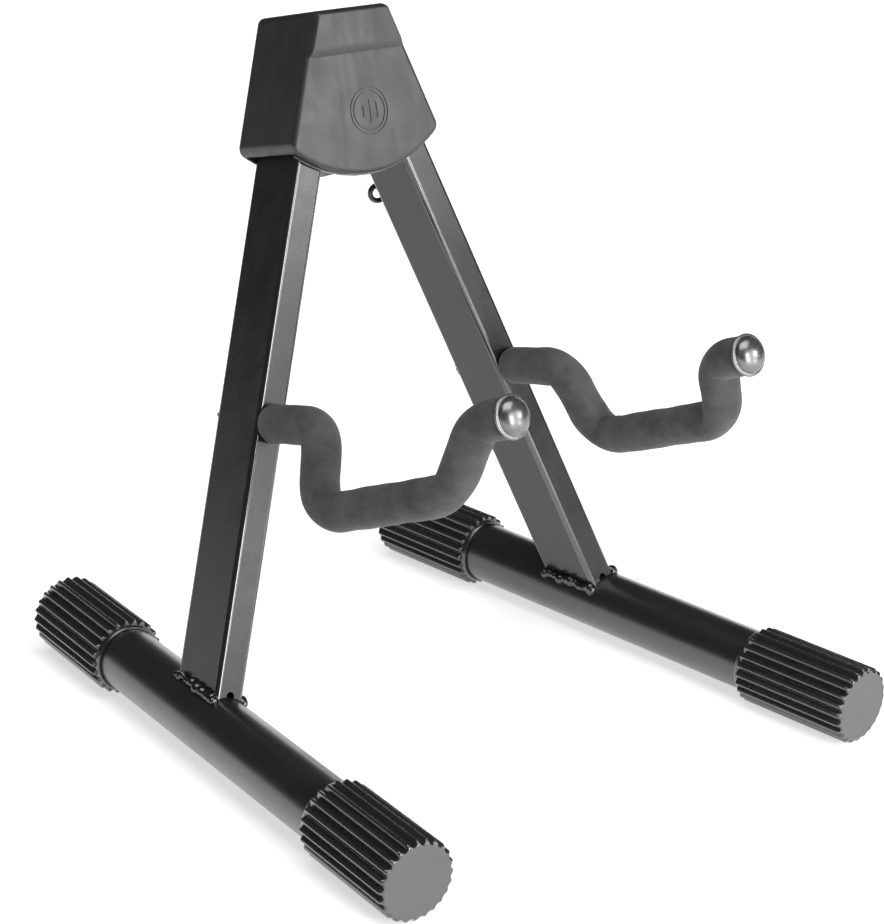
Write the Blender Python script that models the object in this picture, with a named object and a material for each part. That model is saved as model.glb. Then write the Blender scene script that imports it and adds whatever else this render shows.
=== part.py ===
"""Folding A-frame guitar stand: two leg frames hinged in a moulded head.

Each leg frame is flat: its leg tube, base tube and padded arm lie in one plane.
The two frames swing about parallel axes that cross the head from front to back,
and the whole stand leans back until both base tubes lie level on the floor.

Frames used below
  world   +X to the stand's own right leg, -Y to the front, +Z up, floor at z = 0
  head    the world frame leaned back about X; its -Y is the direction of the hinge axes
  leg     origin on the hinge axis, +Z up the leg, -Y to the front
"""

import math

import bmesh
import bpy
from mathutils import Matrix, Vector

# ---------------------------------------------------------------- driving dimensions (metres)

OPEN_ANGLE = math.radians(20.3)      # each leg, from the middle plane of the stand
RAKE_ANGLE = math.radians(15.65)     # leg to the square of its base tube

GAP = 0.0003                         # between touching pieces
OVERCUT = 0.0100                     # how far a cutter reaches past the face it opens

BASE_RADIUS = 0.0136
BASE_WALL = 0.0012
BASE_FRONT = 0.1552                  # junction to the face of the front foot
BASE_REAR = 0.1235                   # junction to the face of the rear foot

FOOT_RADIUS = 0.0170                 # over the ribs
FOOT_GROOVE = 0.0015                 # depth between the ribs
FOOT_LENGTH = 0.058
FOOT_END = 0.0030                    # thickness of the closed end
FOOT_RIBS = 24

LEG_DEPTH = 0.030                    # front to back
LEG_WIDTH = 0.0136
LEG_WALL = 0.0012
LEG_CORNER = 0.0022
LEG_LENGTH = 0.258                   # junction to hinge
LEG_OVER_HINGE = 0.0095

HINGE_X = 0.0189                     # hinge axis to the middle plane

ROD_RADIUS = 0.0040
FOAM_RADIUS = 0.0082
CAP_RADIUS = 0.0087
CAP_DOME = 0.0045

HEAD_ABOVE_HINGE = 0.0370
HEAD_TOP_HALF = 0.0192
HEAD_CORNER_BELOW_HINGE = 0.0173
HEAD_BELLY_BELOW_HINGE = 0.0318
HEAD_FRONT = 0.0202
HEAD_BROW_FRONT = 0.0220             # the thicker top part of the front
HEAD_BROW_BELOW_TOP = 0.0190
HEAD_BACK = 0.0205
HEAD_WALL = 0.0018
HEAD_LIP = 0.0030                    # the wall at the open bottom is thicker
HEAD_AIR = 0.0015                    # room over the plates for the rivet heads

PLATE_THICKNESS = 0.0013
PLATE_SHOWS = 0.0008                 # plates reach this far below the cover
PIN_RADIUS = 0.0030
BUSH_WALL = 0.0009
CLAMP_RADIUS = 0.0025
CLAMP_ABOVE_HINGE = 0.0090
SCREW_RADIUS = 0.0015
SCREWS_ABOVE_HINGE = {"upper_cover_screw": 0.0260, "lower_cover_screw": -0.0160}

VENT_RADIUS = 0.0014
WELD_RADIUS = 0.0019

LOCK_BELOW_HINGE = 0.0408
LOCK_X = 0.0368
LOCK_LENGTH = 0.0055                 # barrel behind the plate
LOCK_BORE = 0.0021
LOCK_WALL = 0.0010
LOCK_NECK = 0.0022
LOCK_PIN_RADIUS = 0.0011
LOCK_END_WALL = 0.0008
COLLAR_THICKNESS = 0.0008
EYE_RADIUS = 0.0024
EYE_HOLE = 0.0016
EYE_THICKNESS = 0.0010
SPRING_WIRE = 0.00013
SPRING_TURNS = 4
RING_RADIUS = 0.0036                 # to the middle of the wire
RING_WIRE = 0.0010
RING_YAW = math.radians(-20)

# Arm centre line as (distance in front of the leg's axis, height above the junction).
ARM_CORNERS = (
    (0.0150, 0.1236),
    (0.0506, 0.1236),
    (0.0555, 0.0880),
    (0.1365, 0.1014),
    (0.1453, 0.1290),
    (0.1632, 0.1318),
)
ARM_RADII = (0.0132, 0.0157, 0.0202, 0.0155)

# ---------------------------------------------------------------- derived sizes

LEAN = math.atan(math.tan(RAKE_ANGLE) * math.cos(OPEN_ANGLE))
HINGE_HEIGHT = LEG_LENGTH * math.cos(OPEN_ANGLE)       # above the base tubes, along the lean
SPLAY = math.asin(math.sin(RAKE_ANGLE) * math.sin(OPEN_ANGLE))
JUNCTION_Y = (BASE_FRONT - BASE_REAR) / 2 * math.cos(SPLAY)
LEG_FACE = LEG_DEPTH / 2
PLATE_INNER = LEG_FACE + GAP
PLATE_OUTER = PLATE_INNER + PLATE_THICKNESS
PLATE_INSET = HEAD_LIP + GAP
HEAD_TOP = HINGE_HEIGHT + HEAD_ABOVE_HINGE
CLAMP_Z = HINGE_HEIGHT + CLAMP_ABOVE_HINGE
LOCK_Z = HINGE_HEIGHT - LOCK_BELOW_HINGE
LOCK_SEAT = PLATE_OUTER + GAP / 2    # the barrel's flange, on the rear plate's tongue
ROD_Z = ARM_CORNERS[0][1] - LEG_LENGTH

COLOURS = {                          # colour, roughness, metallic
    "black_steel": ((0.020, 0.020, 0.021), 0.35, 0.0),
    "head_plastic": ((0.060, 0.060, 0.062), 0.50, 0.0),
    "black_rubber": ((0.015, 0.015, 0.015), 0.45, 0.0),
    "grey_foam": ((0.060, 0.060, 0.060), 0.95, 0.0),
    "gloss_cap": ((0.030, 0.030, 0.030), 0.20, 0.0),
    "zinc_steel": ((0.550, 0.550, 0.540), 0.35, 1.0),
    "nylon": ((0.700, 0.690, 0.650), 0.55, 0.0),
}

# ---------------------------------------------------------------- scene helpers


def clear_scene():
    for obj in list(bpy.data.objects):
        bpy.data.objects.remove(obj, do_unlink=True)


def new_collection(name):
    collection = bpy.data.collections.new(name)
    bpy.context.scene.collection.children.link(collection)
    return collection


def material(name):
    found = bpy.data.materials.get(name)
    if found:
        return found
    colour, roughness, metallic = COLOURS[name]
    made = bpy.data.materials.new(name)
    made.use_nodes = True
    shader = made.node_tree.nodes["Principled BSDF"]
    shader.inputs["Base Color"].default_value = (*colour, 1.0)
    shader.inputs["Roughness"].default_value = roughness
    shader.inputs["Metallic"].default_value = metallic
    made.diffuse_color = (*colour, 1.0)
    return made


def empty(name, parent, location=(0, 0, 0), rotation=(0, 0, 0)):
    guide = bpy.data.objects.new(name, None)
    guide.empty_display_size = 0.02
    guide.parent = parent
    guide.location = location
    guide.rotation_euler = rotation
    PARTS.objects.link(guide)
    return guide


def add_part(name, bm, parent, slot, smooth_angle=35.0, location=(0, 0, 0)):
    """Turn a bmesh into the named part, shaded smooth below the given angle."""
    mesh = bpy.data.meshes.new(name)
    bmesh.ops.recalc_face_normals(bm, faces=bm.faces)
    bm.to_mesh(mesh)
    bm.free()
    mesh.shade_smooth()
    mesh.set_sharp_from_angle(angle=math.radians(smooth_angle))
    obj = bpy.data.objects.new(name, mesh)
    obj.data.materials.append(material(slot))
    obj.parent = parent
    obj.location = location
    PARTS.objects.link(obj)
    return obj


def cut(target, bm, name, operation="DIFFERENCE"):
    """Cut the target with a bmesh given in the target's own coordinates."""
    mesh = bpy.data.meshes.new(name)
    bmesh.ops.recalc_face_normals(bm, faces=bm.faces)
    bm.to_mesh(mesh)
    bm.free()
    cutter = bpy.data.objects.new(name, mesh)
    cutter.parent = target
    cutter.hide_render = True
    cutter.display_type = "WIRE"
    CUTTERS.objects.link(cutter)
    boolean = target.modifiers.new(name, "BOOLEAN")
    boolean.operation = operation
    boolean.solver = "EXACT"
    boolean.object = cutter


# ---------------------------------------------------------------- shape helpers


def cylinder(radius, start, end, segments=32, top_radius=None):
    """A capped cylinder or cone between two points."""
    start, end = Vector(start), Vector(end)
    axis = end - start
    turn = axis.to_track_quat("Z", "Y").to_matrix().to_4x4()
    place = Matrix.Translation((start + end) / 2) @ turn
    bm = bmesh.new()
    bmesh.ops.create_cone(
        bm,
        cap_ends=True,
        segments=segments,
        radius1=radius,
        radius2=radius if top_radius is None else top_radius,
        depth=axis.length,
        matrix=place,
    )
    return bm


def turned(profile, axis_matrix, segments=32):
    """Spin a profile of (radius, height) points, first and last on the axis, about local Z."""
    bm = bmesh.new()
    points = [bm.verts.new((radius, 0, height)) for radius, height in profile]
    edges = [bm.edges.new(pair) for pair in zip(points, points[1:])]
    bmesh.ops.spin(
        bm,
        geom=points + edges,
        axis=(0, 0, 1),
        cent=(0, 0, 0),
        steps=segments,
        angle=math.tau,
        use_merge=True,
    )
    bmesh.ops.remove_doubles(bm, verts=bm.verts, dist=0.00001)
    bmesh.ops.transform(bm, matrix=axis_matrix, verts=bm.verts)
    return bm


def along_y(x=0.0, y=0.0, z=0.0, to_front=True):
    """Place local Z on the front-to-back axis."""
    quarter = math.pi / 2 if to_front else -math.pi / 2
    return Matrix.Translation((x, y, z)) @ Matrix.Rotation(quarter, 4, "X")


def prism(outline, y_front, y_back):
    """Extrude an (x, z) outline from front to back."""
    bm = bmesh.new()
    face = bm.faces.new([bm.verts.new((x, y_front, z)) for x, z in outline])
    grown = bmesh.ops.extrude_face_region(bm, geom=[face])
    moved = [item for item in grown["geom"] if isinstance(item, bmesh.types.BMVert)]
    bmesh.ops.translate(bm, vec=(0, y_back - y_front, 0), verts=moved)
    return bm


def rounded_box(width, depth, z_low, z_high, corner, segments=4):
    """An upright box whose vertical edges are rounded."""
    bm = bmesh.new()
    size = Matrix.Diagonal((width, depth, z_high - z_low, 1))
    bmesh.ops.create_cube(bm, size=1, matrix=Matrix.Translation((0, 0, (z_low + z_high) / 2)) @ size)
    upright = [e for e in bm.edges if abs(e.verts[0].co.z - e.verts[1].co.z) > 0.5 * (z_high - z_low)]
    bmesh.ops.bevel(bm, geom=upright, offset=corner, segments=segments, profile=0.5, affect="EDGES")
    return bm


def arc(centre, radius, start, end, steps):
    """Points of an arc, angles in radians, both ends included."""
    angles = [start + (end - start) * i / steps for i in range(steps + 1)]
    return [(centre[0] + radius * math.cos(a), centre[1] + radius * math.sin(a)) for a in angles]


def filleted_path(corners, radii, step=0.0035):
    """A plane path through the corners, with each inner corner rounded to its radius."""
    points = [Vector(corners[0])]
    for before, corner, after, radius in zip(corners, corners[1:], corners[2:], radii):
        corner = Vector(corner)
        back = (Vector(before) - corner).normalized()
        ahead = (Vector(after) - corner).normalized()
        half = back.angle(ahead) / 2
        centre = corner + (back + ahead).normalized() * (radius / math.sin(half))
        first = corner + back * (radius / math.tan(half)) - centre
        turn = first.angle_signed(corner + ahead * (radius / math.tan(half)) - centre)
        steps = max(3, round(radius * abs(turn) / step))
        for i in range(steps + 1):
            points.append(centre + Matrix.Rotation(-turn * i / steps, 2) @ first)
    points.append(Vector(corners[-1]))
    return points


def wire_curve(points, radius, resolution=2, closed=False):
    """A round wire along the points, as a curve object with filled caps."""
    curve = bpy.data.curves.new("wire", "CURVE")
    curve.dimensions = "3D"
    curve.bevel_depth = radius
    curve.bevel_resolution = resolution
    curve.use_fill_caps = True
    curve.resolution_u = 1
    curve.render_resolution_u = 0
    spline = curve.splines.new("POLY")
    spline.points.add(len(points) - 1)
    for knot, point in zip(spline.points, points):
        knot.co = (*point, 1)
    spline.use_cyclic_u = closed
    return bpy.data.objects.new("wire", curve)


def bar(points, radius, resolution=3, closed=False):
    """The closed mesh of a round wire, ready to be cut."""
    guide = wire_curve(points, radius, resolution, closed)
    PARTS.objects.link(guide)
    seen = guide.evaluated_get(bpy.context.evaluated_depsgraph_get())
    mesh = bpy.data.meshes.new_from_object(seen)
    bpy.data.objects.remove(guide)
    bm = bmesh.new()
    bm.from_mesh(mesh)
    bpy.data.meshes.remove(mesh)
    bmesh.ops.remove_doubles(bm, verts=bm.verts, dist=0.00001)
    return bm


# ---------------------------------------------------------------- leg frame


def base_axis():
    """Unit vector of the base tube towards the front, in the leg frame."""
    return Vector((0, -math.cos(RAKE_ANGLE), -math.sin(RAKE_ANGLE)))


def base_point(distance, offset=(0, 0, 0)):
    """A point on the base tube's axis, measured from the junction towards the front."""
    return Vector((0, 0, -LEG_LENGTH)) + base_axis() * distance + Vector(offset)


def base_matrix(distance, roll, to_front=True):
    """Local Z along the base tube, outwards, rolled about it."""
    axis = base_axis() if to_front else -base_axis()
    across = Vector((1, 0, 0))
    turn = Matrix((across, axis.cross(across), axis)).transposed().to_4x4()
    return Matrix.Translation(base_point(distance)) @ turn @ Matrix.Rotation(roll, 4, "Z")


def make_base_tube(side, frame):
    ends = BASE_FRONT - FOOT_END - GAP, -(BASE_REAR - FOOT_END - GAP)
    bm = cylinder(BASE_RADIUS, base_point(ends[1]), base_point(ends[0]), segments=40)
    tube = add_part(f"{side}_base_tube", bm, frame, "black_steel")
    ends = ends[0] + OVERCUT, ends[1] - OVERCUT
    bore = cylinder(BASE_RADIUS - BASE_WALL, base_point(ends[1]), base_point(ends[0]))
    cut(tube, bore, f"{side}_base_bore")


def make_foot(name, frame, distance, roll, to_front):
    """A ribbed rubber sleeve with a closed outer end."""
    bm = bmesh.new()
    points_a_rib = 4
    count = FOOT_RIBS * points_a_rib
    rim = bmesh.ops.create_circle(bm, cap_ends=True, segments=count, radius=FOOT_RADIUS)["verts"]
    for i, vert in enumerate(rim):
        angle = math.tau * (i + 0.5) / count
        crest = i % points_a_rib < points_a_rib // 2
        radius = FOOT_RADIUS if crest else FOOT_RADIUS - FOOT_GROOVE
        flat = math.cos(math.pi / count) if crest else 1.0
        vert.co = (radius / flat * math.cos(angle), radius / flat * math.sin(angle), 0)
    grown = bmesh.ops.extrude_face_region(bm, geom=list(bm.faces))
    moved = [item for item in grown["geom"] if isinstance(item, bmesh.types.BMVert)]
    bmesh.ops.translate(bm, vec=(0, 0, -FOOT_LENGTH), verts=moved)
    # A crest's flat is centred half a step past its first point.
    settle = Matrix.Rotation(-math.tau / count, 4, "Z")
    place = base_matrix(distance, roll, to_front) @ settle
    bmesh.ops.transform(bm, matrix=place, verts=bm.verts)
    foot = add_part(name, bm, frame, "black_rubber", smooth_angle=20.0)
    outwards = 1 if to_front else -1
    inner = distance - outwards * (FOOT_LENGTH + OVERCUT)
    floor = distance - outwards * FOOT_END
    bore = cylinder(BASE_RADIUS + GAP, base_point(inner), base_point(floor), segments=40)
    cut(foot, bore, f"{name}_bore")


def make_leg_tube(side, frame):
    low, high = -LEG_LENGTH, LEG_OVER_HINGE
    leg = add_part(
        f"{side}_leg_tube",
        rounded_box(LEG_WIDTH, LEG_DEPTH, low, high, LEG_CORNER),
        frame,
        "black_steel",
    )
    hollow = rounded_box(
        LEG_WIDTH - 2 * LEG_WALL,
        LEG_DEPTH - 2 * LEG_WALL,
        low - OVERCUT,
        high + OVERCUT,
        LEG_CORNER - LEG_WALL,
        segments=2,
    )
    cut(leg, hollow, f"{side}_leg_hollow")
    saddle = cylinder(BASE_RADIUS + GAP, base_point(-LEG_DEPTH), base_point(LEG_DEPTH), segments=40)
    cut(leg, saddle, f"{side}_leg_saddle")
    seam_z = (BASE_RADIUS - LEG_FACE * math.sin(RAKE_ANGLE)) / math.cos(RAKE_ANGLE) - LEG_LENGTH
    vent_z = seam_z + VENT_RADIUS / 2
    vent = cylinder(VENT_RADIUS, (0, -LEG_DEPTH, vent_z), (0, 0, vent_z), segments=16)
    cut(leg, vent, f"{side}_vent_hole")
    reach = LEG_DEPTH
    hinge_hole = cylinder(PIN_RADIUS + BUSH_WALL + 2 * GAP, (0, -reach, 0), (0, reach, 0), segments=24)
    cut(leg, hinge_hole, f"{side}_hinge_hole")
    rod_hole = cylinder(ROD_RADIUS + GAP, (0, -reach, ROD_Z), (0, reach, ROD_Z), segments=24)
    cut(leg, rod_hole, f"{side}_rod_hole")


def make_hinge_bush(side, frame):
    """A nylon sleeve that keeps the leg's walls apart and runs on the hinge pin."""
    bm = cylinder(PIN_RADIUS + GAP + BUSH_WALL, (0, -LEG_FACE, 0), (0, LEG_FACE, 0), segments=24)
    bush = add_part(f"{side}_hinge_bush", bm, frame, "nylon")
    bore = cylinder(PIN_RADIUS + GAP, (0, -LEG_DEPTH, 0), (0, LEG_DEPTH, 0), segments=24)
    cut(bush, bore, f"{side}_bush_bore")


def make_weld(side, where, outwards, frame):
    """A fillet bead in the corner between a leg's side and the base tube."""
    x = outwards * (LEG_WIDTH / 2 + GAP + WELD_RADIUS)
    height = math.sqrt((BASE_RADIUS + GAP + WELD_RADIUS) ** 2 - x ** 2)
    half = LEG_FACE - LEG_CORNER / 2
    square = Vector((x, -math.sin(RAKE_ANGLE) * height, math.cos(RAKE_ANGLE) * height))
    ends = []
    for forward in (-half, half):
        distance = (forward - height * math.sin(RAKE_ANGLE)) / math.cos(RAKE_ANGLE)
        ends.append(base_point(distance, square))
    bm = cylinder(WELD_RADIUS, ends[0], ends[1], segments=12)
    add_part(f"{side}_{where}_weld", bm, frame, "black_steel")


def arm_path(extra_start, extra_end):
    """Points along the arm in the leg frame, made longer at its two ends."""
    start = Vector(ARM_CORNERS[0]) - Vector((extra_start, 0))
    last = Vector(ARM_CORNERS[-1])
    end = last + (last - Vector(ARM_CORNERS[-2])).normalized() * extra_end
    corners = (start, *ARM_CORNERS[1:-1], end)
    plane = filleted_path(corners, ARM_RADII)
    return [Vector((0, -forward, height - LEG_LENGTH)) for forward, height in plane]


def make_arm(side, frame):
    rod_in_leg = LEG_DEPTH + 0.0015
    rod_in_cap = 0.0040
    rod = bar(arm_path(rod_in_leg, rod_in_cap), ROD_RADIUS)
    add_part(f"{side}_arm_rod", rod, frame, "black_steel", smooth_angle=50)
    sleeve = bar(arm_path(-GAP, 0), FOAM_RADIUS, resolution=5)
    foam = add_part(f"{side}_arm_foam", sleeve, frame, "grey_foam", smooth_angle=50)
    cut(foam, bar(arm_path(OVERCUT, OVERCUT), ROD_RADIUS + GAP), f"{side}_foam_bore")
    make_arm_cap(side, frame, rod_in_cap)
    make_arm_weld(side, frame)


def make_arm_cap(side, frame, rod_in_cap):
    """A domed end cap with a socket for the rod's end."""
    tip = arm_path(0, 0)[-1]
    along = (tip - arm_path(0, 0)[-2]).normalized()
    across = Vector((1, 0, 0))
    turn = Matrix((across, along.cross(across), along)).transposed().to_4x4()
    rim = GAP + 0.0012
    socket = rod_in_cap + GAP
    profile = [(0, socket), (ROD_RADIUS + GAP, socket), (ROD_RADIUS + GAP, GAP), (CAP_RADIUS, GAP)]
    profile.append((CAP_RADIUS, rim))
    steps = 6
    for i in range(1, steps + 1):
        angle = math.pi / 2 * i / steps
        profile.append((CAP_RADIUS * math.cos(angle), rim + CAP_DOME * math.sin(angle)))
    profile[-1] = (0, profile[-1][1])
    add_part(f"{side}_arm_cap", turned(profile, Matrix.Translation(tip) @ turn), frame, "gloss_cap")


def make_arm_weld(side, frame):
    """The weld ring that holds the rod where it comes through the leg's back wall."""
    start = LEG_FACE + GAP
    outer, height = 0.0062, 0.0018
    top = outer - height / 2
    bm = cylinder(outer, (0, start, ROD_Z), (0, start + height, ROD_Z), segments=24, top_radius=top)
    ring = add_part(f"{side}_arm_weld", bm, frame, "black_steel")
    bore = cylinder(ROD_RADIUS + GAP, (0, 0, ROD_Z), (0, LEG_DEPTH, ROD_Z), segments=24)
    cut(ring, bore, f"{side}_arm_weld_bore")


def make_leg_frame(side, sign, head):
    frame = empty(f"{side}_leg_frame", head, (sign * HINGE_X, 0, HINGE_HEIGHT), (0, -sign * OPEN_ANGLE, 0))
    make_leg_tube(side, frame)
    make_hinge_bush(side, frame)
    make_base_tube(side, frame)
    make_weld(side, "outer", sign, frame)
    make_weld(side, "inner", -sign, frame)
    # The leg frame is tilted about its base tube, so the feet are rolled back to lie on a rib's flat.
    sideways = sign * math.sin(OPEN_ANGLE) * math.cos(LEAN)
    upright = math.sin(RAKE_ANGLE) * math.sin(LEAN)
    upright += math.cos(RAKE_ANGLE) * math.cos(OPEN_ANGLE) * math.cos(LEAN)
    tilt = math.atan2(sideways, upright)
    make_foot(f"{side}_front_foot", frame, BASE_FRONT, -tilt, True)
    make_foot(f"{side}_rear_foot", frame, -BASE_REAR, tilt, False)
    make_arm(side, frame)


# ---------------------------------------------------------------- head


def head_outline(inset=0.0, belly_shift=0.0, corner=0.003, arc_steps=12, corner_steps=3):
    """Outline of the head in (x, z): sides along the open legs, a round belly below.

    The top and the sides move in by the inset, and the belly moves down by its shift.
    """
    slope = math.tan(OPEN_ANGLE)
    top = HEAD_TOP - inset
    shoulder = HEAD_TOP_HALF + slope * inset - inset / math.cos(OPEN_ANGLE)
    hip = HEAD_TOP_HALF + slope * (HEAD_ABOVE_HINGE + HEAD_CORNER_BELOW_HINGE)
    sag = HEAD_BELLY_BELOW_HINGE - HEAD_CORNER_BELOW_HINGE
    full_radius = (hip ** 2 + sag ** 2) / (2 * sag)
    centre_z = HINGE_HEIGHT - HEAD_BELLY_BELOW_HINGE + full_radius
    radius = full_radius + belly_shift
    # The belly ends where its circle meets the side line x cos a + z sin a = reach.
    reach = HEAD_TOP_HALF * math.cos(OPEN_ANGLE) + HEAD_TOP * math.sin(OPEN_ANGLE) - inset
    swing = OPEN_ANGLE + math.asin((reach - centre_z * math.sin(OPEN_ANGLE)) / radius)
    belly = arc((0, centre_z), radius, -math.pi / 2 - swing, -math.pi / 2 + swing, arc_steps)
    corner_x = shoulder - corner * math.tan((math.pi / 2 - OPEN_ANGLE) / 2)
    right_corner = arc((corner_x, top - corner), corner, OPEN_ANGLE, math.pi / 2, corner_steps)
    left_corner = [(-x, z) for x, z in reversed(right_corner)]
    return belly + right_corner + left_corner


def along_depth(edge):
    """True for an edge that runs from the front to the back."""
    first, second = (vert.co for vert in edge.verts)
    return abs(first.x - second.x) + abs(first.z - second.z) < 0.00001


def make_head_cover(head):
    """The moulded cover: open below, with a thicker brow across the top of its front."""
    hip_round, rim_round = 0.0042, 0.0022
    outline = head_outline()
    bm = prism(outline, -HEAD_FRONT, HEAD_BACK)
    hip_x = max(x for x, z in outline)
    hips = [e for e in bm.edges if along_depth(e) and abs(e.verts[0].co.x) > hip_x - 0.0001]
    bmesh.ops.bevel(bm, geom=hips, offset=hip_round, segments=3, profile=0.5, affect="EDGES")
    rims = [e for e in bm.edges if not along_depth(e)]
    bmesh.ops.bevel(bm, geom=rims, offset=rim_round, segments=3, profile=0.5, affect="EDGES")
    cover = add_part("head_cover", bm, head, "head_plastic", smooth_angle=50.0)
    cut(cover, head_brow(), "brow", operation="UNION")
    depth = PLATE_OUTER + HEAD_AIR
    cut(cover, prism(head_outline(HEAD_WALL, -HEAD_LIP, corner=0.002), -depth, depth), "head_hollow")
    depth = PLATE_OUTER + GAP
    cut(cover, prism(head_outline(HEAD_LIP, OVERCUT, corner=0.002), -depth, depth), "head_mouth")
    for name, height in SCREWS_ABOVE_HINGE.items():
        z = HINGE_HEIGHT + height
        hole = cylinder(SCREW_RADIUS + GAP, (0, LEG_FACE, z), (0, HEAD_BACK + OVERCUT, z), segments=16)
        cut(cover, hole, f"{name}_cover_hole")


def head_brow():
    """The slab that makes the top part of the cover's front stand proud."""
    inset, edge_round, corner_round = 0.0010, 0.0016, 0.0025
    low = HEAD_TOP - HEAD_BROW_BELOW_TOP
    low_half = HEAD_TOP_HALF + math.tan(OPEN_ANGLE) * HEAD_BROW_BELOW_TOP - inset
    top_half = HEAD_TOP_HALF - inset
    top = HEAD_TOP - inset
    outline = [(-low_half, low), (low_half, low), (top_half, top), (-top_half, top)]
    bm = prism(outline, -HEAD_BROW_FRONT, -PLATE_OUTER)
    depthwise = [e for e in bm.edges if along_depth(e) and e.verts[0].co.z > low + inset]
    bmesh.ops.bevel(bm, geom=depthwise, offset=corner_round, segments=3, profile=0.5, affect="EDGES")
    front = [e for e in bm.edges if max(v.co.y for v in e.verts) < 0.00001 - HEAD_BROW_FRONT]
    bmesh.ops.bevel(bm, geom=front, offset=edge_round, segments=3, profile=0.5, affect="EDGES")
    return bm


def bore_plate(plate, name, back):
    """Cut the hinge pin and clamp bolt holes, towards the back or the front."""
    far = HEAD_BACK if back else -HEAD_BACK
    for side, x in (("left", -HINGE_X), ("right", HINGE_X)):
        hole = cylinder(PIN_RADIUS + GAP, (x, 0, HINGE_HEIGHT), (x, far, HINGE_HEIGHT), segments=24)
        cut(plate, hole, f"{name}_{side}_pin_hole")
    hole = cylinder(CLAMP_RADIUS + GAP, (0, 0, CLAMP_Z), (0, far, CLAMP_Z), segments=20)
    cut(plate, hole, f"{name}_clamp_hole")


def make_front_plate(head):
    outline = head_outline(PLATE_INSET, PLATE_SHOWS, corner=0.002)
    plate = add_part("front_plate", prism(outline, -PLATE_OUTER, -PLATE_INNER), head, "black_steel")
    bore_plate(plate, "front_plate", back=False)


def make_rear_plate(head):
    """The rear plate, with a tongue behind the right leg that carries the leg lock."""
    outline = head_outline(PLATE_INSET, PLATE_SHOWS, corner=0.002)
    plate = add_part("rear_plate", prism(outline, PLATE_INNER, PLATE_OUTER), head, "black_steel")
    half, length = 0.0052, 0.026
    up_x, up_z = -math.sin(OPEN_ANGLE) * length, math.cos(OPEN_ANGLE) * length
    tongue = arc((LOCK_X, LOCK_Z), half, OPEN_ANGLE - math.pi, OPEN_ANGLE, 12)
    (left_x, left_z), (right_x, right_z) = tongue[0], tongue[-1]
    tongue += [(right_x + up_x, right_z + up_z), (left_x + up_x, left_z + up_z)]
    cut(plate, prism(tongue, PLATE_INNER, PLATE_OUTER), "rear_plate_tongue", operation="UNION")
    bore_plate(plate, "rear_plate", back=True)
    for name, height in SCREWS_ABOVE_HINGE.items():
        z = HINGE_HEIGHT + height
        hole = cylinder(SCREW_RADIUS + GAP, (0, 0, z), (0, HEAD_BACK, z), segments=16)
        cut(plate, hole, f"{name}_plate_hole")
    hole = cylinder(LOCK_NECK + GAP, (LOCK_X, 0, LOCK_Z), (LOCK_X, HEAD_BACK, LOCK_Z), segments=20)
    cut(plate, hole, "lock_barrel_hole")


def make_stop_block(head):
    """The nylon block that the open legs rest against, clamped between the plates."""
    slope = math.tan(OPEN_ANGLE)
    above_hinge, height = 0.0005, 0.0180
    low = HINGE_HEIGHT + above_hinge
    high = low + height
    leg_inner = HINGE_X - LEG_WIDTH / 2 / math.cos(OPEN_ANGLE) - GAP / math.cos(OPEN_ANGLE)
    wide = leg_inner - slope * (low - HINGE_HEIGHT)
    narrow = leg_inner - slope * (high - HINGE_HEIGHT)
    outline = [(-wide, low), (wide, low), (narrow, high), (-narrow, high)]
    block = add_part("stop_block", prism(outline, -LEG_FACE, LEG_FACE), head, "nylon")
    hole = cylinder(CLAMP_RADIUS + GAP, (0, -LEG_DEPTH, CLAMP_Z), (0, LEG_DEPTH, CLAMP_Z), segments=20)
    cut(block, hole, "stop_block_hole")


def make_hinge_pin(side, sign, head):
    """A rivet through both plates and the leg, with a low head at each end."""
    head_radius, head_height = 0.0055, 0.0010
    seat = PLATE_OUTER + GAP / 2
    half = seat + head_height
    profile = [
        (0, -half),
        (head_radius * 0.8, -half),
        (head_radius, -half + head_height / 2),
        (head_radius, -seat),
        (PIN_RADIUS, -seat),
        (PIN_RADIUS, seat),
        (head_radius, seat),
        (head_radius, half - head_height / 2),
        (head_radius * 0.8, half),
        (0, half),
    ]
    bm = turned(profile, along_y(sign * HINGE_X, 0, HINGE_HEIGHT), segments=24)
    add_part(f"{side}_hinge_pin", bm, head, "zinc_steel")


def make_clamp_bolt(head):
    """The bolt through the plates and the stop block, with its nut at the back."""
    bolt_head, nut_radius, head_height = 0.0045, 0.0044, 0.0010
    seat = PLATE_OUTER + GAP / 2
    profile = [
        (0, seat + head_height),
        (bolt_head, seat + head_height),
        (bolt_head, seat),
        (CLAMP_RADIUS, seat),
        (CLAMP_RADIUS, -seat - head_height),
        (0, -seat - head_height),
    ]
    bm = turned(profile, along_y(0, 0, CLAMP_Z), segments=24)
    add_part("stop_block_bolt", bm, head, "zinc_steel")
    nut = cylinder(nut_radius, (0, seat, CLAMP_Z), (0, seat + head_height, CLAMP_Z), segments=6)
    nut_obj = add_part("stop_block_nut", nut, head, "zinc_steel")
    hole = cylinder(CLAMP_RADIUS + GAP / 2, (0, LEG_FACE, CLAMP_Z), (0, HEAD_BACK, CLAMP_Z), segments=24)
    cut(nut_obj, hole, "stop_block_nut_hole")


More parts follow.
